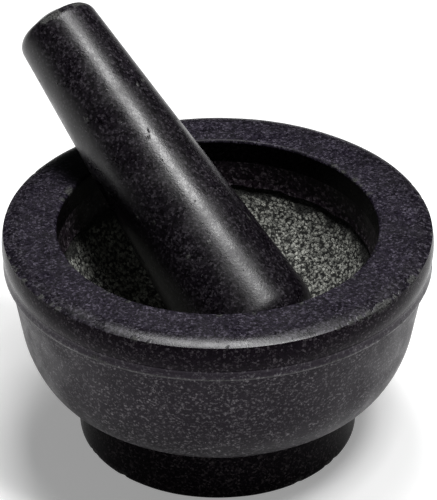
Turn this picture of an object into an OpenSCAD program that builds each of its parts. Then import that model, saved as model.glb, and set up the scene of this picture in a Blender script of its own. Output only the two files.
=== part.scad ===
// Granite molcajete: a turned stone mortar on a round foot, with its loose pestle.
// Millimetres, +Z up, origin at the centre of the foot's underside.

/* [Mortar outside] */
// Diameter over the widest point of the rim band
rim_d = 200; // [190:1:210]
// Height from the foot's underside to the flat rim
mortar_h = 110; // [104:1:118]
// Height of the polished rim band
band_h = 18; // [14:0.5:22]
// How far the belly is set back under the band
band_step = 2.6; // [1.5:0.1:4]
// Slope of the belly's side wall, in degrees from upright
belly_slope = 9; // [6:0.5:12]
// Radius of the upper part of the curve under the belly
belly_upper_r = 52; // [45:1:58]
// Radius of the lower part of the curve under the belly
belly_lower_r = 26; // [22:1:30]
// Height at which the belly's side wall starts to curve under
belly_curve_z = 60; // [58:1:66]
// Diameter of the foot
foot_d = 133.4; // [120:1:140]

/* [Mortar inside] */
// Diameter of the mouth at the flat rim
mouth_d = 148.4; // [140:0.2:152]
// Rounding of the mouth's edge
mouth_edge_r = 1.5; // [1:0.1:2.5]
// Depth of the smooth wall above the pecked grinding bowl
wall_depth = 27.6; // [24:0.2:32]
// Depth at which the smooth wall starts to curve inwards
wall_curve_depth = 13; // [10:0.5:18]
// Slope of the smooth wall at its lower edge, in degrees from upright
wall_slope = 23; // [15:1:30]
// How far the pecked bowl is cut back behind the smooth wall
peck_step = 1.8; // [1:0.1:2.5]
// Radius of the round grinding bowl
bowl_r = 80.5; // [78:0.5:84]

/* [Pestle] */
// Radius of the grinding head at its widest
head_r = 31.3; // [28:0.1:33]
// Rounding of the head's edge
head_edge_r = 16; // [12:0.5:20]
// Radius of the domed face under the head
head_face_r = 40; // [36:1:60]
// Radius of the grip at its top end
grip_r = 20.3; // [18:0.1:22]
// Length of the pestle over both ends
pestle_l = 196.7; // [180:0.1:210]
// Rounding of the top end's edge
top_edge_r = 8; // [5:0.5:10]
// Height of the low dome on the top end
top_dome_h = 2.9; // [2:0.1:4]

/* [Resting place of the pestle] */
// Compass bearing towards which the pestle leans, in degrees from +X
lean_bearing = 134; // [0:1:359]
// How far the centre of the head's lower rounding lies from the mortar's axis, away from the lean
seat_offset = 12.6; // [8:0.2:18]
// Air gap left between the two stones where they touch
touch_gap = 0.3; // [0.2:0.05:0.5]

/* [Hidden] */
mortar_colour = [0.16, 0.15, 0.17];
pestle_colour = [0.24, 0.23, 0.25];
$fn = 180;
arc_step = 4;
over = 1;

// Rim and band, as radii and heights
rim_r = rim_d / 2;
flat_r = 0.919 * rim_r;
shoulder_fall = 26;
shoulder_arc_r = (0.991 * rim_r - flat_r) / sin(shoulder_fall);
edge_r = 0.991 * rim_r;
edge_top_z = mortar_h - shoulder_arc_r * (1 - cos(shoulder_fall));
band_bulge = 0.95;
neck_r = 0.99 * rim_r;
neck_z = mortar_h - 0.81 * band_h;
lip_r = 0.997 * rim_r;
lip_edge_r = 1.4;
lip_z = mortar_h - band_h;

// Belly, from under the band to the foot
belly_r = lip_r - band_step;
belly_z = lip_z - lip_edge_r - 1.2;
side_r = belly_r - (belly_z - belly_curve_z) * tan(belly_slope);
upper_turn = 22;
upper_c = [side_r - belly_upper_r * cos(belly_slope), belly_curve_z + belly_upper_r * sin(belly_slope)];
bend = belly_slope + upper_turn;
lower_c = upper_c + (belly_upper_r - belly_lower_r) * [cos(bend), -sin(bend)];

// Foot, and the small cove that joins it to the belly
foot_r = foot_d / 2;
foot_edge_r = 2;
cove_r = 3;
foot_meet = acos((foot_r + cove_r - lower_c[0]) / belly_lower_r);
foot_top_z = lower_c[1] - belly_lower_r * sin(foot_meet);

// Grinding bowl: a sphere that meets the smooth wall peck_step behind its lower edge
mouth_r = mouth_d / 2;
wall_z = mortar_h - wall_depth;
wall_curve_z = mortar_h - wall_curve_depth;
wall_arc_r = (wall_curve_z - wall_z) / sin(wall_slope);
wall_low_r = mouth_r - wall_arc_r * (1 - cos(wall_slope));
peck_r = wall_low_r + peck_step;
bowl_c_z = wall_z + sqrt(pow(bowl_r, 2) - pow(peck_r, 2));

// Pestle: a domed face, a rounded edge, and a cone tangent to that edge up to the grip
head_edge_c = head_r - head_edge_r;
face_c_z = sqrt(pow(head_face_r - head_edge_r, 2) - pow(head_edge_c, 2));
face_edge_r = head_edge_c * head_face_r / (head_face_r - head_edge_r);
face_h = head_face_r - face_c_z;
shaft_l = pestle_l - face_h - top_dome_h;
cone_l = shaft_l - top_edge_r;
taper = asin((head_r - grip_r) / cone_l);
dome_face_r = grip_r - top_edge_r;
dome_r = (pow(dome_face_r, 2) + pow(top_dome_h, 2)) / (2 * top_dome_h);

// Lean: the head's rounding rests in the bowl and the shaft on the rounded edge of the mouth
seat_r = bowl_r - head_edge_r - touch_gap;
seat_z = bowl_c_z - sqrt(pow(seat_r, 2) - pow(seat_offset, 2));
edge_u = mouth_r + mouth_edge_r;
edge_z = mortar_h - mouth_edge_r;
to_edge = [edge_u + seat_offset, edge_z - seat_z];
rest_dist = head_edge_r + mouth_edge_r + touch_gap;
underside_rise = atan2(to_edge[1], to_edge[0]) + asin(rest_dist / norm(to_edge));
lean = 90 - (underside_rise - taper);
head_offset = seat_offset + head_edge_c * cos(lean);
head_z = seat_z + head_edge_c * sin(lean);

// Points of an arc about a centre, from one angle to another
function arc(c, r, from, to) =
    let (n = ceil(abs(to - from) / arc_step))
    [for (i = [0 : n]) let (a = from + (to - from) * i / n) c + r * [cos(a), sin(a)]];

// Arc through three points, for a shallow bulge: its chord's ends and its height
function bulge(low, high, rise) =
    let (half = norm(high - low) / 2)
    let (r = (pow(half, 2) + pow(rise, 2)) / (2 * rise))
    let (mid = (low + high) / 2)
    let (out = [high[1] - low[1], low[0] - high[0]] / (2 * half))
    let (c = mid - (r - rise) * out)
    let (a0 = atan2(low[1] - c[1], low[0] - c[0]))
    let (a1 = atan2(high[1] - c[1], high[0] - c[0]))
    arc(c, r, a0, a1);

// Outside of the mortar, from the axis at the foot up to the axis at the rim
module mortar_outline() {
    polygon(concat(
        [[0, 0]],
        arc([foot_r - foot_edge_r, foot_edge_r], foot_edge_r, -90, 0),
        arc([foot_r + cove_r, foot_top_z - cove_r], cove_r, 180, 90),
        arc(lower_c, belly_lower_r, -foot_meet, -bend),
        arc(upper_c, belly_upper_r, -bend, -belly_slope),
        [[belly_r, belly_z]],
        arc([lip_r - lip_edge_r, lip_z], lip_edge_r, -60, 10),
        bulge([neck_r, neck_z], [edge_r, edge_top_z], band_bulge),
        arc([flat_r, mortar_h - shoulder_arc_r], shoulder_arc_r, 90 - shoulder_fall, 90),
        [[0, mortar_h]]
    ));
}

// Hollow of the mortar: smooth wall above, round pecked bowl below
module hollow_outline() {
    polygon(concat(
        [[0, wall_z]],
        arc([mouth_r - wall_arc_r, wall_curve_z], wall_arc_r, -wall_slope, 0),
        arc([edge_u, edge_z], mouth_edge_r, 180, 90),
        [[edge_u, mortar_h + over], [0, mortar_h + over]]
    ));
    intersection() {
        translate([0, bowl_c_z]) circle(r = bowl_r);
        square([bowl_r, wall_z]);
    }
}

module mortar() {
    color(mortar_colour)
    rotate_extrude()
    difference() {
        mortar_outline();
        hollow_outline();
    }
}

// Pestle along its own axis, from the widest part of the head
module pestle_outline() {
    intersection() {
        translate([0, face_c_z]) circle(r = head_face_r);
        translate([0, -face_h]) square([face_edge_r, face_h]);
    }
    intersection() {
        translate([head_edge_c, 0]) circle(r = head_edge_r);
        translate([0, -head_edge_r]) square([head_r, 2 * head_edge_r]);
    }
    polygon(concat(
        [[0, 0], [head_edge_c, 0] + head_edge_r * [cos(taper), sin(taper)]],
        arc([dome_face_r, cone_l], top_edge_r, taper, 90),
        [[0, shaft_l]]
    ));
    intersection() {
        translate([0, shaft_l + top_dome_h - dome_r]) circle(r = dome_r);
        translate([0, shaft_l - over]) square([dome_face_r, top_dome_h + over]);
    }
}

module pestle() {
    color(pestle_colour)
    rotate([0, 0, lean_bearing])
    translate([-head_offset, 0, head_z])
    rotate([0, lean, 0])
    rotate_extrude()
    pestle_outline();
}

mortar();
pestle();
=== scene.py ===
import math

import bpy
import numpy as np
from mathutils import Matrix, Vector, kdtree


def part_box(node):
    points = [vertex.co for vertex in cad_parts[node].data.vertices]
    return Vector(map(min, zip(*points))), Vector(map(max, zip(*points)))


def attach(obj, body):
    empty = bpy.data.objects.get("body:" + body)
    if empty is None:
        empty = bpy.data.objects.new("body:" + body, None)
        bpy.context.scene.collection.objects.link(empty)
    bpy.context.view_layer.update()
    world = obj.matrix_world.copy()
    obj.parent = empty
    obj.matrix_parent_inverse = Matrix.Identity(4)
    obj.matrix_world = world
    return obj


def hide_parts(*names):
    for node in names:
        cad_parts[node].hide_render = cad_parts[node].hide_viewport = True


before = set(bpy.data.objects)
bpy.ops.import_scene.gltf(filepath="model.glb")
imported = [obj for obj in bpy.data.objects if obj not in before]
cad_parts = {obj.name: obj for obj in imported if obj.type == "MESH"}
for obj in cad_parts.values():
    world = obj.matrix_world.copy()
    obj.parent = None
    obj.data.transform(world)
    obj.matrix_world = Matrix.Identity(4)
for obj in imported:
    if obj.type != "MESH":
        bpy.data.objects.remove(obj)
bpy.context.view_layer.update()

# ---------------------------------------------------------------- sizes

# The shapes below are in millimetres of the 200 mm size; UNIT turns them into metres.
mortar_low, mortar_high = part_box("mortar")
RIM_R = 100.0
MORTAR_H = 110.0
UNIT = (mortar_high.x - mortar_low.x) / (2 * RIM_R)


def cos(degrees):
    """Cosine of an angle in degrees."""
    return math.cos(math.radians(degrees))


def sin(degrees):
    """Sine of an angle in degrees."""
    return math.sin(math.radians(degrees))


# Rim and band, as (radius, height)
BAND_H = 18.0
BAND_BULGE = 0.9
SHOULDER_FALL = 26
EDGE_R = 99.1
FLAT_R = 91.9
SHOULDER_R = (EDGE_R - FLAT_R) / sin(SHOULDER_FALL)
SHOULDER_C = (FLAT_R, MORTAR_H - SHOULDER_R)
BAND_EDGE = (EDGE_R, MORTAR_H - SHOULDER_R * (1 - cos(SHOULDER_FALL)))
NECK = (99.0, MORTAR_H - 0.81 * BAND_H)
LIP_OUT = 99.7
LIP_R = 1.4
LIP_C = (LIP_OUT - LIP_R, MORTAR_H - BAND_H)

# Belly, set back under the lip and curving under in two arcs
BELLY_STEP = 2.6
BELLY_SLOPE = 9
BELLY_UPPER_TURN = 22
BELLY_BEND = BELLY_SLOPE + BELLY_UPPER_TURN
BELLY_UPPER_R = 52.0
BELLY_LOWER_R = 26.0
BELLY_CURVE_Z = 60.0
BELLY_TOP = (LIP_OUT - BELLY_STEP, LIP_C[1] - LIP_R - 1.2)
BELLY_SIDE_R = BELLY_TOP[0] - (BELLY_TOP[1] - BELLY_CURVE_Z) * sin(BELLY_SLOPE) / cos(BELLY_SLOPE)
BELLY_UPPER_C = (BELLY_SIDE_R - BELLY_UPPER_R * cos(BELLY_SLOPE),
                 BELLY_CURVE_Z + BELLY_UPPER_R * sin(BELLY_SLOPE))
BELLY_LOWER_C = (BELLY_UPPER_C[0] + (BELLY_UPPER_R - BELLY_LOWER_R) * cos(BELLY_BEND),
                 BELLY_UPPER_C[1] - (BELLY_UPPER_R - BELLY_LOWER_R) * sin(BELLY_BEND))

# Foot, joined to the belly by a small cove
FOOT_R = 66.7
FOOT_EDGE_R = 2.0
COVE_R = 3.0
BELLY_END = math.degrees(math.acos((FOOT_R + COVE_R - BELLY_LOWER_C[0]) / BELLY_LOWER_R))
COVE_C = (FOOT_R + COVE_R, BELLY_LOWER_C[1] - BELLY_LOWER_R * sin(BELLY_END) - COVE_R)

# Mouth, smooth wall and round pecked bowl
MOUTH_EDGE_R = 1.5
WALL_R = 74.2
MOUTH_C = (WALL_R + MOUTH_EDGE_R, MORTAR_H - MOUTH_EDGE_R)
WALL_SLOPE = 23
WALL_CURVE_Z = 97.0
WALL_LOW_Z = 82.4
WALL_ARC_R = (WALL_CURVE_Z - WALL_LOW_Z) / sin(WALL_SLOPE)
PECK_STEP = 1.8
PECK_R = WALL_R - WALL_ARC_R * (1 - cos(WALL_SLOPE)) + PECK_STEP
BOWL_R = 80.5
BOWL_C_Z = WALL_LOW_Z + math.sqrt(BOWL_R ** 2 - PECK_R ** 2)

# Pestle, along its own axis from the widest part of the head
PESTLE_L = 196.7
HEAD_R = 31.3
HEAD_EDGE_R = 16.0
HEAD_FACE_R = 40.0
GRIP_R = 20.3
TOP_EDGE_R = 8.0
TOP_DOME_H = 2.9
HEAD_EDGE_C = HEAD_R - HEAD_EDGE_R
FACE_C_Z = math.sqrt((HEAD_FACE_R - HEAD_EDGE_R) ** 2 - HEAD_EDGE_C ** 2)
CONE_L = PESTLE_L - (HEAD_FACE_R - FACE_C_Z) - TOP_DOME_H - TOP_EDGE_R
TAPER = math.degrees(math.asin((HEAD_R - GRIP_R) / CONE_L))

# Resting place: the head's edge lies in the bowl and the shaft on the mouth's edge, with a gap at both
LEAN_BEARING = 134.0
SEAT_OFFSET = 12.6
TOUCH_GAP = 0.3
SEAT_Z = BOWL_C_Z - math.sqrt((BOWL_R - HEAD_EDGE_R - TOUCH_GAP) ** 2 - SEAT_OFFSET ** 2)
TO_MOUTH = (MOUTH_C[0] + SEAT_OFFSET, MOUTH_C[1] - SEAT_Z)
UNDERSIDE_RISE = math.degrees(math.atan2(TO_MOUTH[1], TO_MOUTH[0])
                              + math.asin((HEAD_EDGE_R + MOUTH_EDGE_R + TOUCH_GAP) / math.hypot(*TO_MOUTH)))
LEAN = 90 - (UNDERSIDE_RISE - TAPER)
HEAD_OFFSET = SEAT_OFFSET + HEAD_EDGE_C * cos(LEAN)
HEAD_Z = SEAT_Z + HEAD_EDGE_C * sin(LEAN)

# Edges that chip, as (radius, height)
RIM_CHIPS = (98.6, 108.6)
MOUTH_CHIPS = (75.0, 109.6)
LIP_CHIPS = (99.5, 91.2)
FOOT_CHIPS = (66.2, 0.8)
ALL_ROUND = (0, 360)

# Grooves left by the pecking tool; a groove fades out over its half width
GROOVES = 5200
GROOVE_STEP = 0.75
GROOVE_HALF_W = 0.62
GROOVE_DEPTH = 0.62

# How far up the wall the pecking goes beyond WALL_LOW_Z, and how far the wall leans out for each mm up
PECKED_UP = 3.0
WALL_LEAN = 0.42

# Camera, fitted to the photo; it looks down by CAMERA_FALL degrees
CAMERA_LENS = 187.4
CAMERA_FALL = 32.957
CAMERA_FAR = 12.083 * RIM_R
CAMERA_AIM = (0.4, 0, 0.86 * MORTAR_H)

# How far the lights are from the middle of the rim, in metres
LIGHT_FAR = 1.4

# Points round one ring, for the plain outside and for the edges and the bowl
PLAIN_N = 288
FINE_N = 576
PESTLE_N = 240

random = np.random.default_rng(27)


# ---------------------------------------------------------------- shapes

def arc(centre, radius, start, end, step):
    """Points (radius, height) of an arc from one angle to another, in degrees."""
    count = max(2, round(abs(math.radians(end - start)) * radius / step))
    turn = np.radians(np.linspace(start, end, count + 1))
    return np.stack([centre[0] + radius * np.cos(turn), centre[1] + radius * np.sin(turn)], 1)


def line(start, end, step):
    """Evenly spaced points (radius, height) from start to end."""
    count = max(1, round(math.dist(start, end) / step))
    share = np.linspace(0, 1, count + 1)[:, None]
    return np.array(start) * (1 - share) + np.array(end) * share


def bulged(start, end, rise, step):
    """Points of a shallow outward bulge between two points."""
    points = line(start, end, step)
    share = np.linspace(-1, 1, len(points))
    points[:, 0] += rise * (1 - share ** 2)
    return points


def thinned(count, radius, limits):
    """Points for a ring near the axis: half as many for each limit that its radius is under."""
    for limit in limits:
        if radius < limit:
            count //= 2
    return count


def value_noise(points, cell, seed):
    """Smooth random values from -1 to 1 that vary over the length of a cell."""
    grid = points / cell
    base = np.floor(grid)
    part = grid - base
    part = part * part * (3 - 2 * part)
    base = base.astype(np.int64)
    total = np.zeros(len(points))
    for corner in np.ndindex(2, 2, 2):
        node = base + corner
        # Large odd factors scramble the corner's place into a value that looks random
        key = (node[:, 0] * 73856093) ^ (node[:, 1] * 19349663) ^ (node[:, 2] * 83492791) ^ (seed * 7919)
        key = ((key ^ (key >> 13)) * 1274126177) & 0x7FFFFFFF
        key = ((key ^ (key >> 15)) * 97531) & 0xFFFFFF
        weight = np.prod(np.where(corner, part, 1 - part), axis=1)
        total += weight * (key / 0x7FFFFF - 1)
    return total


def smooth_step(low, high, value):
    """Rises smoothly from 0 at low to 1 at high, or falls where high is the smaller."""
    share = np.clip((value - low) / (high - low), 0, 1)
    return share * share * (3 - 2 * share)


class Turned:
    """A turned stone: rings of points round an axis, each with its own number of points."""

    def __init__(self):
        self.rings = []
        self.zones = []
        self.counts = []

    def add(self, points, zone, count):
        """Adds rings at the points; the strip that leads to each of them belongs to the zone."""
        for radius, height in points:
            if self.rings and math.dist(self.rings[-1], (radius, height)) < 0.02:
                continue
            self.rings.append((radius, height))
            self.zones.append(zone)
            self.counts.append(count if radius > 0.01 else 1)

    def build(self):
        """Works out the points, their outward directions and the faces."""
        profile = np.array(self.rings)
        ahead = np.vstack([profile[1:], profile[-1:]])
        behind = np.vstack([profile[:1], profile[:-1]])
        along = ahead - behind
        outward = np.stack([along[:, 1], -along[:, 0]], 1)
        outward /= np.linalg.norm(outward, axis=1)[:, None]
        places, normals, self.zone_of = [], [], []
        self.starts = []
        total = 0
        for (radius, height), (out_r, out_z), count, zone in zip(profile, outward, self.counts, self.zones):
            turn = np.arange(count) * 2 * math.pi / count
            places.append(np.stack([radius * np.cos(turn), radius * np.sin(turn), np.full(count, height)], 1))
            normals.append(np.stack([out_r * np.cos(turn), out_r * np.sin(turn), np.full(count, out_z)], 1))
            self.zone_of += [zone] * count
            self.starts.append(total)
            total += count
        self.places = np.vstack(places)
        self.normals = np.vstack(normals)
        self.zone_of = np.array(self.zone_of)
        self.faces, self.face_zones = [], []
        for i in range(len(profile) - 1):
            self.strip(i)

    def strip(self, i):
        """Faces between ring i and the next, which has as many points, half or twice as many, or one."""
        low, high = self.counts[i], self.counts[i + 1]
        a, b = self.starts[i], self.starts[i + 1]
        made = []
        for j in range(min(low, high) if 1 not in (low, high) else max(low, high)):
            if low == 1:
                made.append((a, b + (j + 1) % high, b + j))
            elif high == 1:
                made.append((a + j, a + (j + 1) % low, b))
            elif low == high:
                k = (j + 1) % low
                made.append((a + j, a + k, b + k, b + j))
            elif low == 2 * high:
                mid, end, k = a + 2 * j + 1, a + (2 * j + 2) % low, b + (j + 1) % high
                made += [(a + 2 * j, mid, b + j), (mid, k, b + j), (mid, end, k)]
            else:
                mid, end, k = b + 2 * j + 1, b + (2 * j + 2) % high, a + (j + 1) % low
                made += [(a + j, mid, b + 2 * j), (a + j, k, mid), (k, end, mid)]
        self.faces += made
        self.face_zones += [self.zones[i + 1]] * len(made)


def nearest(centres, points):
    """Each point's distance to the nearest centre, and that centre's number."""
    tree = kdtree.KDTree(len(centres))
    for number, centre in enumerate(centres):
        tree.insert(centre, number)
    tree.balance()
    found = [tree.find(point) for point in points]
    return np.array([f[2] for f in found]), np.array([f[1] for f in found])


def dent(shape, chips):
    """Scoops chips out of the surface; returns how much of each point is broken stone, 0 to 1."""
    broken = np.zeros(len(shape.places))
    depth = np.zeros(len(shape.places))
    ragged = 0.3 * value_noise(shape.places, 1.4, 11) + 0.25 * value_noise(shape.places, 3.1, 12)
    for centre, radius, deep in chips:
        far = np.linalg.norm(shape.places - centre, axis=1)
        near = far < 1.8 * radius
        reach = far[near] / radius * (1 + ragged[near])
        scoop = deep * smooth_step(1, 0.15, reach)
        depth[near] = np.maximum(depth[near], scoop)
        broken[near] = np.maximum(broken[near], smooth_step(1.02, 0.8, reach))
    shape.shift -= depth
    return broken


def ring_point(radius, height, bearing):
    """A point at a radius and height, at a bearing in degrees from +X."""
    return np.array([radius * cos(bearing), radius * sin(bearing), height])


def scatter_chips(edge, bearings, count, sizes, depth_share):
    """Random chips along an edge, between two bearings."""
    chips = []
    for _ in range(count):
        size = random.uniform(*sizes) * random.uniform(0.6, 1)
        bearing = random.uniform(*bearings)
        chips.append((ring_point(*edge, bearing), size, size * depth_share))
    return chips


def make_piece(name, shape, materials, masks, place=None):
    """Makes the mesh object from the shape, with one material slot for each zone."""
    points = shape.places + shape.normals * shape.shift[:, None]
    if place is not None:
        points = place(points)
    mesh = bpy.data.meshes.new(name)
    mesh.from_pydata((points * UNIT).tolist(), [], shape.faces)
    names = list(materials)
    for zone in names:
        mesh.materials.append(materials[zone])
    mesh.polygons.foreach_set("material_index", [names.index(zone) for zone in shape.face_zones])
    for mask, values in masks.items():
        layer = mesh.attributes.new(mask, "FLOAT", "POINT")
        layer.data.foreach_set("value", values.astype(np.float32))
    mesh.shade_smooth()
    mesh.set_sharp_from_angle(angle=math.radians(42))
    mesh.validate()
    piece = bpy.data.objects.new(name, mesh)
    bpy.context.scene.collection.objects.link(piece)
    return piece


# ---------------------------------------------------------------- materials

class Nodes:
    """Short ways to add shader nodes to one material."""

    def __init__(self, name):
        self.material = bpy.data.materials.new(name)
        self.material.use_nodes = True
        self.tree = self.material.node_tree
        self.shader = self.tree.nodes["Principled BSDF"]
        self.where = self.add("ShaderNodeTexCoord").outputs["Object"]

    def add(self, kind, inputs=(), **settings):
        """A new node, with its settings made and its inputs filled."""
        node = self.tree.nodes.new(kind)
        for key, value in settings.items():
            setattr(node, key, value)
        for key, value in dict(inputs).items():
            self.put(node.inputs[key], value)
        return node

    def put(self, socket, value):
        """Links a socket to another node's output, or sets it to a plain value."""
        if isinstance(value, bpy.types.NodeSocket):
            self.tree.links.new(value, socket)
        else:
            socket.default_value = value

    def noise(self, size, detail=2, rough=0.5, where=None):
        """Cloudy values from 0 to 1, varying over a size in millimetres."""
        node = self.add("ShaderNodeTexNoise", {"Vector": where or self.where, "Scale": 1 / (size * UNIT),
                                              "Detail": detail, "Roughness": rough})
        return node.outputs["Fac"]

    def cells(self, size, where):
        """Crystal cells of a size in millimetres: a random value for each, and the distance to its middle."""
        node = self.add("ShaderNodeTexVoronoi", {"Vector": where, "Scale": 1 / (size * UNIT)})
        value = self.add("ShaderNodeSeparateColor", {"Color": node.outputs["Color"]})
        return value.outputs["Red"], node.outputs["Distance"]

    def bent(self, size, amount):
        """Object coordinates shaken by noise, so that crystals come out ragged."""
        shake = self.add("ShaderNodeTexNoise", {"Vector": self.where, "Scale": 1 / (size * UNIT),
                                               "Detail": 2})
        centred = self.add("ShaderNodeVectorMath", {0: shake.outputs["Color"], 1: (-0.5, -0.5, -0.5)},
                           operation="ADD")
        scaled = self.add("ShaderNodeVectorMath", {0: centred.outputs[0], "Scale": amount * UNIT},
                          operation="SCALE")
        return self.add("ShaderNodeVectorMath", {0: self.where, 1: scaled.outputs[0]},
                        operation="ADD").outputs[0]

    def ramp(self, value, stops):
        """Turns a value into a colour, or into a grey where a stop is a plain number."""
        node = self.add("ShaderNodeValToRGB", {"Fac": value})
        elements = node.color_ramp.elements
        while len(elements) < len(stops):
            elements.new(0.5)
        for element, (at, colour) in zip(elements, stops):
            element.position = at
            element.color = colour if isinstance(colour, tuple) else (colour, colour, colour, 1)
        return node.outputs["Color"]

    def span(self, value, low, high, out_low, out_high):
        """Maps a value from one range to another, held at both ends."""
        node = self.add("ShaderNodeMapRange", {"Value": value, "From Min": low, "From Max": high,
                                               "To Min": out_low, "To Max": out_high})
        return node.outputs["Result"]

    def math(self, operation, a, b=0.0):
        """One sum on two values."""
        node = self.add("ShaderNodeMath", operation=operation)
        self.put(node.inputs[0], a)
        self.put(node.inputs[1], b)
        return node.outputs["Value"]

    def mix(self, share, a, b, blend="MIX"):
        """Colour a turned into colour b by a share, or blended with it in another way."""
        node = self.add("ShaderNodeMix", data_type="RGBA", blend_type=blend)
        self.put(node.inputs["Factor"], share)
        self.put(node.inputs["A"], a)
        self.put(node.inputs["B"], b)
        return node.outputs["Result"]

    def mask(self, name):
        """The mesh's own value of that name at each point."""
        return self.add("ShaderNodeAttribute", attribute_name=name).outputs["Fac"]

    def bump(self, height, distance, strength=1.0, normal=None):
        """Surface directions disturbed by a height, over a depth in millimetres."""
        inputs = {"Height": height, "Distance": distance * UNIT, "Strength": strength}
        if normal is not None:
            inputs["Normal"] = normal
        return self.add("ShaderNodeBump", inputs).outputs["Normal"]


def rgba(colour):
    """A colour of three values with a full fourth one."""
    return (*colour, 1)


BROKEN_STONE = (0.032, 0.032, 0.031)
# The dark polish gives reflections back a little violet
VIOLET = (0.92, 0.78, 1.0)


def granite(name, dark, mid, light, flecks, rough, gloss, grain=1.0, pits=0.0, lathe=0.0, grain_contrast=1.0,
            tint=(1, 1, 1)):
    """Dark granite: crystals of three tones, bright flecks, cloudy patches, pits, turning marks and chips."""
    n = Nodes(name)
    ragged = n.bent(grain * 0.9, grain * 1.5)
    tone, middle = n.cells(grain, ragged)
    clump = n.noise(grain * 1.5, 3, 0.65)
    blend = n.math("ADD", n.math("MULTIPLY", tone, 0.55), n.math("MULTIPLY", clump, 0.75))
    body = n.ramp(blend, [(0.40, rgba(dark)), (0.60, rgba(mid)), (0.74, rgba(mid)), (0.96, rgba(light))])
    fine_tone, _ = n.cells(grain * 0.5, ragged)
    fine = n.ramp(fine_tone, [(0.1, 1 - 0.6 * grain_contrast), (0.9, 1 + 0.7 * grain_contrast)])
    body = n.mix(1.0, body, fine, "MULTIPLY")
    cloud = n.noise(22, 3)
    body = n.mix(1.0, body, n.ramp(cloud, [(0.25, 0.7), (0.75, 1.3)]), "MULTIPLY")
    fleck_tone, fleck_middle = n.cells(grain * 0.9, ragged)
    fleck = n.math("MULTIPLY", n.span(fleck_tone, 1 - flecks, 1, 0, 0.7),
                   n.span(fleck_middle, 0.15, 0.5, 1, 0))
    body = n.mix(fleck, body, rgba([min(1, c * 2.6 + 0.03) for c in light]))
    broken = n.mask("chip")
    rubble = n.noise(0.8, 3)
    stone = n.mix(1.0, rgba(BROKEN_STONE), n.ramp(rubble, [(0.35, 0.1), (0.65, 2.4)]), "MULTIPLY")
    n.put(n.shader.inputs["Base Color"], n.mix(broken, body, stone))

    smear = n.noise(14, 4, 0.6)
    shine = n.math("ADD", n.span(smear, 0.3, 0.7, rough * 0.75, rough * 1.3),
                   n.span(tone, 0, 1, -0.04, 0.06))
    n.put(n.shader.inputs["Roughness"], n.math("MAXIMUM", shine, n.math("MULTIPLY", broken, 0.85)))
    n.put(n.shader.inputs["Specular IOR Level"], gloss)
    n.put(n.shader.inputs["Specular Tint"], rgba(tint))
    n.put(n.shader.inputs["IOR"], 1.5)

    normal = n.bump(n.math("ADD", middle, clump), 0.09, 0.18 + rough * 0.5)
    if lathe:
        axes = n.add("ShaderNodeSeparateXYZ", {"Vector": n.where})
        radius = n.math("SQRT", n.math("ADD", n.math("POWER", axes.outputs["X"], 2.0),
                                       n.math("POWER", axes.outputs["Y"], 2.0)))
        marks = n.add("ShaderNodeCombineXYZ", {"X": radius, "Y": axes.outputs["Z"]}).outputs["Vector"]
        normal = n.bump(n.noise(0.9, 3, 0.6, marks), 0.05, lathe, normal)
    if pits:
        pit_tone, pit_middle = n.cells(1.7, ragged)
        pit = n.math("MULTIPLY", n.span(pit_tone, 1 - pits, 1 - pits + 0.02, 0, 1),
                     n.span(pit_middle, 0.15, 0.3, 1, 0))
        normal = n.bump(n.math("MULTIPLY", pit, -1.0), 0.15, 0.8, normal)
    normal = n.bump(n.math("MULTIPLY", rubble, broken), 0.5, 1.0, normal)
    n.put(n.shader.inputs["Normal"], normal)
    return n.material


def pecked_granite(name, high, low, rough):
    """Raw stone of the bowl: pale bruised knobs about 1.5 mm across, with painted shade in black between them
    and in the pits.
    """
    n = Nodes(name)
    tone, middle = n.cells(1.6, n.bent(1.4, 2.2))
    grain = n.noise(0.7, 3, 0.6)
    knob = n.math("ADD", n.span(middle, 0.25, 0.75, 1, 0), n.span(grain, 0.3, 0.7, -0.3, 0.3))
    # Darker between the knobs, where the bump's hollows are: painted shade; the pale knob tops are the
    # bruised stone's own colour.
    body = n.mix(n.span(knob, 0.15, 0.75, 0, 1), rgba(low), rgba(high))
    body = n.mix(1.0, body, n.ramp(tone, [(0, 0.45), (1, 1.5)]), "MULTIPLY")
    # The pit mask darkens the grooves and a band under the wall's edge: painted shade in the hollows.
    body = n.mix(n.span(n.mask("pit"), 0.15, 0.8, 0, 0.9), body, rgba(low))
    body = n.mix(1.0, body, n.ramp(n.noise(18, 3), [(0.25, 0.75), (0.75, 1.25)]), "MULTIPLY")
    n.put(n.shader.inputs["Base Color"], body)
    n.put(n.shader.inputs["Roughness"], n.span(grain, 0.2, 0.8, rough * 0.85, min(1, rough * 1.15)))
    n.put(n.shader.inputs["Specular IOR Level"], 0.35)
    normal = n.bump(knob, 0.45, 0.9)
    n.put(n.shader.inputs["Normal"], normal)
    return n.material


# ---------------------------------------------------------------- mortar

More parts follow.
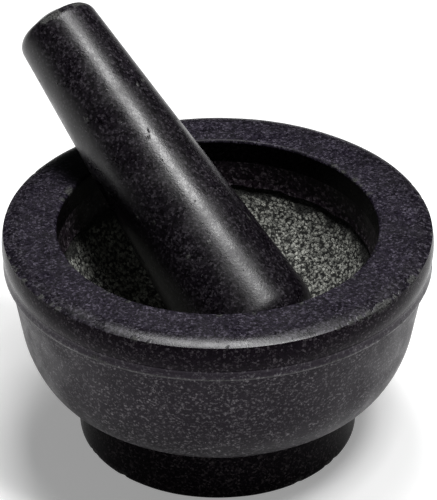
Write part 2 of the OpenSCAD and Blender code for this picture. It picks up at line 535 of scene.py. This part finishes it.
def mortar_shape():
    """The mortar's rings, from the middle of its underside, up the outside and down into the bowl."""
    shape = Turned()
    shape.add([(0.0, 0.0)], "underside", 1)
    for radius, count in ((3, 18), (6, 36), (9, 36), (13, 72), (19, 72), (25, 144), (34, 144)):
        shape.add([(radius, 0.0)], "underside", count)
    shape.add(line((40, 0.0), (FOOT_R - FOOT_EDGE_R, 0.0), 4), "underside", PLAIN_N)
    shape.add(arc((FOOT_R - FOOT_EDGE_R, FOOT_EDGE_R), FOOT_EDGE_R, -90, 0, 0.7), "foot", PLAIN_N)
    shape.add(line((FOOT_R, FOOT_EDGE_R), (FOOT_R, COVE_C[1]), 2.4), "foot", PLAIN_N)
    shape.add(arc(COVE_C, COVE_R, 180, 90, 0.8), "foot", PLAIN_N)
    shape.add(arc(BELLY_LOWER_C, BELLY_LOWER_R, -BELLY_END, -BELLY_BEND, 1.8), "belly", PLAIN_N)
    shape.add(arc(BELLY_UPPER_C, BELLY_UPPER_R, -BELLY_BEND, -BELLY_SLOPE, 2.2), "belly", PLAIN_N)
    shape.add(line((BELLY_SIDE_R, BELLY_CURVE_Z), BELLY_TOP, 2.4), "belly", PLAIN_N)
    lip = arc(LIP_C, LIP_R, -60, 10, 0.5)
    shape.add(line(BELLY_TOP, lip[0], 0.7)[1:], "lip", FINE_N)
    shape.add(lip[1:], "lip_edge", FINE_N)
    shape.add(line(lip[-1], NECK, 1.0)[1:], "lip", FINE_N)
    shape.add(bulged(NECK, BAND_EDGE, BAND_BULGE, 1.1)[1:], "band", FINE_N)
    shape.add(arc(SHOULDER_C, SHOULDER_R, 90 - SHOULDER_FALL, 90, 0.8)[1:], "shoulder", FINE_N)
    shape.add(line((SHOULDER_C[0], MORTAR_H), (MOUTH_C[0], MORTAR_H), 2.0)[1:], "rim", FINE_N)
    shape.add(arc(MOUTH_C, MOUTH_EDGE_R, 90, 180, 0.4)[1:], "rim", FINE_N)
    shape.add(line((WALL_R, MOUTH_C[1]), (WALL_R, WALL_CURVE_Z + 1), 1.6)[1:], "wall", FINE_N)
    wall_curve = arc((WALL_R - WALL_ARC_R, WALL_CURVE_Z), WALL_ARC_R, 0, -WALL_SLOPE, 1.2)
    shape.add(wall_curve, "ledge", FINE_N)
    shape.add(line(wall_curve[-1], (PECK_R, WALL_LOW_Z - 0.2), 0.6)[1:], "crevice", FINE_N)
    bowl_turn = math.degrees(math.asin(PECK_R / BOWL_R))
    for radius, height in arc((0, BOWL_C_Z), BOWL_R, -90 + bowl_turn, -90, 0.85)[1:]:
        count = thinned(FINE_N, radius, (45, 22, 11, 5.5, 2.7))
        shape.add([(max(0.0, radius), height)], "bowl", count)
    shape.build()
    return shape


def raise_pecking(places):
    """Moves the edge of the pecked bowl up the wall, unevenly, as the hand tool leaves it."""
    rise = PECKED_UP + 0.7 * value_noise(places * (1, 1, 0), 9, 7)
    inside = np.hypot(places[:, 0], places[:, 1]) < WALL_R + 0.1
    near_edge = np.where(inside, smooth_step(9, 1, np.abs(places[:, 2] - WALL_LOW_Z)), 0)
    lift = rise * near_edge
    outward = 1 + WALL_LEAN * lift / np.maximum(1, np.hypot(places[:, 0], places[:, 1]))
    places[:, 0] *= outward
    places[:, 1] *= outward
    places[:, 2] += lift


def pecking(shape, in_bowl):
    """Pits left by the pecking tool all over the bowl, each a short crooked groove."""
    turn = random.uniform(0, 2 * math.pi, GROOVES)
    bottom = BOWL_C_Z - BOWL_R
    height = random.uniform(bottom, WALL_LOW_Z + 1, GROOVES)
    radius = np.sqrt(np.maximum(0, BOWL_R ** 2 - (BOWL_C_Z - height) ** 2))
    start = np.stack([radius * np.cos(turn), radius * np.sin(turn), height], 1)
    heading = random.normal(size=(GROOVES, 3))
    steps = random.integers(1, 5, GROOVES)
    deep = random.uniform(0.35, 1, GROOVES)
    centres, depths = [], []
    for i in range(GROOVES):
        spot, way = start[i], heading[i]
        for _ in range(steps[i]):
            centres.append(spot)
            depths.append(deep[i])
            out = (spot - (0, 0, BOWL_C_Z)) / BOWL_R
            way = way - out * np.dot(way, out)
            way = way / np.linalg.norm(way) + 0.35 * random.normal(size=3)
            spot = spot + GROOVE_STEP * way / np.linalg.norm(way)
    far, which = nearest(centres, shape.places[in_bowl])
    pit = np.exp(-(far / GROOVE_HALF_W) ** 2) * np.array(depths)[which]
    uneven = 0.5 + 0.5 * value_noise(shape.places[in_bowl], 1.1, 5)
    return pit, GROOVE_DEPTH * pit + 0.12 * uneven


def make_mortar():
    """The mortar with its pecking, chips and stone; all of it cuts into the turned form."""
    shape = mortar_shape()
    places = shape.places
    raise_pecking(places)
    radius = np.hypot(places[:, 0], places[:, 1])
    shape.shift = np.zeros(len(places))
    in_bowl = shape.zone_of == "bowl"

    # The hand-finished outside is very slightly uneven; it only ever lies inside the true form
    outside = np.isin(shape.zone_of, ["foot", "belly", "lip", "lip_edge", "band", "shoulder", "rim", "wall",
                                         "ledge"])
    uneven = 0.10 * value_noise(places, 31, 1) + 0.04 * value_noise(places, 9, 2) - 0.14
    edge_zone = np.isin(shape.zone_of, ["shoulder", "rim", "wall", "ledge"])
    shape.shift[outside] = uneven[outside] * np.where(edge_zone[outside], 0.6, 1)

    # Painted shade for the bowl's colour: dark in the pecked grooves and in a band just under the wall's
    # overhanging edge.
    pit_and_crevice_shade = np.zeros(len(places))
    pit, depth = pecking(shape, in_bowl)
    below_wall = PECK_R - radius[in_bowl] + 1.6 * value_noise(places[in_bowl], 4.5, 6)
    pit_and_crevice_shade[in_bowl] = np.maximum(pit, 1.1 * smooth_step(2.4, 0.6, below_wall))
    shape.shift[in_bowl] = -depth

    chips = []
    chips += scatter_chips(RIM_CHIPS, (-54, -17), 16, (1.2, 3.4), 0.26)
    chips += scatter_chips(RIM_CHIPS, (-162, -138), 7, (1.0, 2.6), 0.26)
    chips += scatter_chips(RIM_CHIPS, ALL_ROUND, 22, (0.8, 1.8), 0.22)
    chips += scatter_chips(MOUTH_CHIPS, (12, 42), 8, (1.0, 2.6), 0.28)
    chips += scatter_chips(MOUTH_CHIPS, (148, 165), 4, (1.0, 2.4), 0.28)
    chips += scatter_chips(MOUTH_CHIPS, ALL_ROUND, 18, (0.7, 1.8), 0.25)
    chips += scatter_chips(LIP_CHIPS, (-124, -118), 2, (2.2, 3.4), 0.22)
    chips += scatter_chips(LIP_CHIPS, ALL_ROUND, 26, (0.8, 2.2), 0.22)
    chips += scatter_chips(FOOT_CHIPS, ALL_ROUND, 16, (1.0, 2.6), 0.22)
    broken = dent(shape, chips)

    # The raw underside: small pits upwards, into the stone
    under = (shape.zone_of == "underside") & (radius < FOOT_R - 3)
    shape.shift[under] -= 0.08 + 0.08 * value_noise(places[under], 5, 3)

    mortar_granite = {
        "underside": granite("granite_sawn", (0.03, 0.03, 0.03), (0.06, 0.06, 0.058), (0.14, 0.14, 0.135),
                             0.05, 0.8, 0.3, pits=0.12),
        "foot": granite("granite_foot_polished", (0.0004, 0.0003, 0.0004), (0.0014, 0.0009, 0.0014),
                        (0.020, 0.017, 0.018), 0.015, 0.24, 0.02, pits=0.02, lathe=0.25,
                        tint=VIOLET),
        "belly": granite("granite_belly_honed", (0.0006, 0.0003, 0.0008), (0.0044, 0.0034, 0.0050),
                         (0.090, 0.085, 0.090), 0.01, 0.40, 0.13, grain=0.9, pits=0.03, lathe=0.2,
                         tint=VIOLET),
        # The strip round the lip is honed, and is also painted lighter than the band as a painted highlight
        # along the strip under it.
        "lip": granite("granite_lip_honed_painted_highlight", (0.002, 0.0016, 0.0024), (0.010, 0.0085, 0.0105),
                       (0.07, 0.068, 0.072), 0.02, 0.32, 0.24, lathe=0.2, tint=VIOLET),
        # The lip's bead is painted lighter all round as a painted highlight along its edge.
        "lip_edge": granite("granite_lip_edge_painted_highlight", (0.006, 0.005, 0.007), (0.026, 0.024, 0.027),
                            (0.12, 0.115, 0.12), 0.03, 0.40, 0.30, lathe=0.2),
        "band": granite("granite_band_polished", (0.0006, 0.0002, 0.0007), (0.0032, 0.0018, 0.0034),
                        (0.045, 0.040, 0.045), 0.012, 0.22, 0.05, pits=0.02, lathe=0.2,
                        tint=VIOLET),
        "shoulder": granite("granite_shoulder_polished", (0.0014, 0.0008, 0.0026), (0.0085, 0.0064, 0.011),
                            (0.050, 0.045, 0.058), 0.02, 0.31, 0.42, pits=0.03, lathe=0.35),
        "rim": granite("granite_rim_honed", (0.0014, 0.0007, 0.0028), (0.0088, 0.0066, 0.0125),
                       (0.050, 0.044, 0.060), 0.02, 0.46, 0.20, pits=0.03, lathe=0.35),
        "wall": granite("granite_wall_polished", (0.0004, 0.0003, 0.0004), (0.0012, 0.0008, 0.0012),
                        (0.008, 0.006, 0.008), 0.01, 0.30, 0.06, lathe=0.2),
        "ledge": granite("granite_wall_honed", (0.0016, 0.0008, 0.0016), (0.012, 0.0078, 0.0118),
                         (0.085, 0.072, 0.082), 0.04, 0.5, 0.18, grain=1.3, lathe=0.6),
        # The crevice step under the wall's edge is painted near black: painted shade in the recess.
        "crevice": granite("granite_crevice_painted_shade", (0.0008, 0.0006, 0.0008), (0.003, 0.0025, 0.003),
                           (0.010, 0.009, 0.010), 0.02, 0.8, 0.1),
        "bowl": pecked_granite("granite_pecked", (0.30, 0.305, 0.276), (0.012, 0.012, 0.0115), 0.85),
    }
    piece = make_piece("mortar_stone", shape, mortar_granite, {"chip": broken, "pit": pit_and_crevice_shade})
    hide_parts("mortar")
    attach(piece, "mortar")


# ---------------------------------------------------------------- pestle

def pestle_place(points):
    """Turns points from the pestle's own axis to its resting place in the bowl."""
    x = points[:, 0] * cos(LEAN) + points[:, 2] * sin(LEAN) - HEAD_OFFSET
    z = -points[:, 0] * sin(LEAN) + points[:, 2] * cos(LEAN) + HEAD_Z
    y = points[:, 1]
    return np.stack([x * cos(LEAN_BEARING) - y * sin(LEAN_BEARING),
                     x * sin(LEAN_BEARING) + y * cos(LEAN_BEARING), z], 1)


def pestle_shape():
    """The pestle's rings along its own axis, from the middle of its face to the middle of its top."""
    shape = Turned()
    meet = math.degrees(math.atan2(FACE_C_Z, HEAD_EDGE_C))
    face = arc((0, FACE_C_Z), HEAD_FACE_R, -90, -meet, 1.1)
    edge = arc((HEAD_EDGE_C, 0), HEAD_EDGE_R, -meet, TAPER, 1.1)
    for radius, height in np.vstack([face, edge[1:]]):
        zone = "head" if height < -0.3 * HEAD_R else "shaft"
        shape.add([(max(0.0, radius), height)], zone, thinned(PESTLE_N, radius, (22, 10, 4.5)))
    face_r = GRIP_R - TOP_EDGE_R
    top = (face_r + TOP_EDGE_R * cos(TAPER), CONE_L + TOP_EDGE_R * sin(TAPER))
    shape.add(line(tuple(edge[-1]), top, 1.4)[1:], "shaft", PESTLE_N)
    shape.add(arc((face_r, CONE_L), TOP_EDGE_R, TAPER, 90, 0.9)[1:], "shaft", PESTLE_N)
    dome_r = (face_r ** 2 + TOP_DOME_H ** 2) / (2 * TOP_DOME_H)
    dome_turn = math.degrees(math.asin(face_r / dome_r))
    dome_c = (0, CONE_L + TOP_EDGE_R + TOP_DOME_H - dome_r)
    for radius, height in arc(dome_c, dome_r, 90 - dome_turn, 90, 1.0)[1:]:
        shape.add([(max(0.0, radius), height)], "shaft", thinned(PESTLE_N, radius, (9, 4.5, 2.2)))
    shape.build()
    return shape


def make_pestle():
    """The pestle with its chips, worn head and stone, put in its resting place."""
    shape = pestle_shape()
    places = shape.places
    height = places[:, 2]
    uneven = 0.16 * value_noise(places, 38, 21) + 0.05 * value_noise(places, 11, 22) - 0.21
    shape.shift = uneven.copy()
    chips = []
    for _ in range(30):
        along = random.uniform(0.2, 1.0) * CONE_L
        chips.append((ring_point(HEAD_R - (HEAD_R - GRIP_R) * along / CONE_L, along,
                                 random.uniform(0, 360)), random.uniform(0.6, 1.3), 0.14))
    for _ in range(16):
        chips.append((ring_point(GRIP_R - 1.6, CONE_L + 5.2, random.uniform(0, 360)),
                      random.uniform(1.0, 2.8), 0.35))
    broken = dent(shape, chips)
    worn = smooth_step(-0.15 * HEAD_R, -0.5 * HEAD_R, height + 3 * value_noise(places, 9, 23))
    shape.shift -= worn * (0.08 + 0.08 * value_noise(places, 1.5, 24))

    pestle_granite = {
        "shaft": granite("granite_pestle_satin", (0.0008, 0.0003, 0.0010), (0.0050, 0.0034, 0.0058),
                         (0.032, 0.028, 0.034), 0.012, 0.33, 0.42, pits=0.05, grain_contrast=0.8),
        "head": granite("granite_head_worn", (0.012, 0.012, 0.012), (0.04, 0.04, 0.039),
                        (0.12, 0.12, 0.115), 0.05, 0.6, 0.3, pits=0.12),
    }
    piece = make_piece("pestle_stone", shape, pestle_granite, {"chip": broken}, pestle_place)
    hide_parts("pestle")
    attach(piece, "pestle")


# ---------------------------------------------------------------- floor, lights and camera

def make_floor():
    """A pale paper floor; its slight glow keeps shadows and the far floor pale."""
    reach = 60 * RIM_R * UNIT
    mesh = bpy.data.meshes.new("floor")
    mesh.from_pydata([(-reach, -reach, 0), (reach, -reach, 0), (reach, reach, 0), (-reach, reach, 0)], [],
                     [(0, 1, 2, 3)])
    n = Nodes("floor_paper")
    n.put(n.shader.inputs["Base Color"], (0.90, 0.90, 0.90, 1))
    n.put(n.shader.inputs["Roughness"], 0.95)
    n.put(n.shader.inputs["Specular IOR Level"], 0.0)
    n.put(n.shader.inputs["Emission Color"], (1, 1, 1, 1))
    n.put(n.shader.inputs["Emission Strength"], 0.30)
    mesh.materials.append(n.material)
    floor = bpy.data.objects.new("floor", mesh)
    bpy.context.scene.collection.objects.link(floor)


def add_softbox(name, direction, size, power):
    """A soft rectangular light that faces the rim's middle from a direction; its size is in metres."""
    light = bpy.data.lights.new(name, "AREA")
    light.shape = "RECTANGLE"
    light.size, light.size_y = size
    light.energy = power
    lamp = bpy.data.objects.new(name, light)
    aim = Vector((0, 0, MORTAR_H * UNIT))
    toward = Vector(direction).normalized()
    lamp.location = aim + toward * LIGHT_FAR
    lamp.rotation_euler = toward.to_track_quat("Z", "Y").to_euler()
    bpy.context.scene.collection.objects.link(lamp)


def make_lights():
    """A faint sky and two soft lights above."""
    world = bpy.data.worlds.new("studio")
    world.use_nodes = True
    sky = world.node_tree.nodes["Background"]
    sky.inputs["Color"].default_value = (0.93, 1.0, 0.95, 1)
    sky.inputs["Strength"].default_value = 0.025
    bpy.context.scene.world = world
    add_softbox("key", (0.30, -0.13, 0.945), (0.36, 0.42), 14.5)
    add_softbox("overhead", (-0.02, 0.20, 0.97), (0.46, 0.60), 15)
    bpy.context.scene.view_settings.view_transform = "Standard"


def make_camera():
    """The photo's camera."""
    camera = bpy.data.cameras.new("camera")
    camera.sensor_width = 36
    camera.lens = CAMERA_LENS
    camera.clip_end = 50
    view = bpy.data.objects.new("camera", camera)
    aim = Vector(CAMERA_AIM) * UNIT
    view.location = aim + CAMERA_FAR * UNIT * Vector((0, -cos(CAMERA_FALL), sin(CAMERA_FALL)))
    view.rotation_euler = (math.radians(90 - CAMERA_FALL), 0, 0)
    bpy.context.scene.collection.objects.link(view)
    bpy.context.scene.camera = view


make_camera()
make_lights()
make_floor()
make_mortar()
make_pestle()
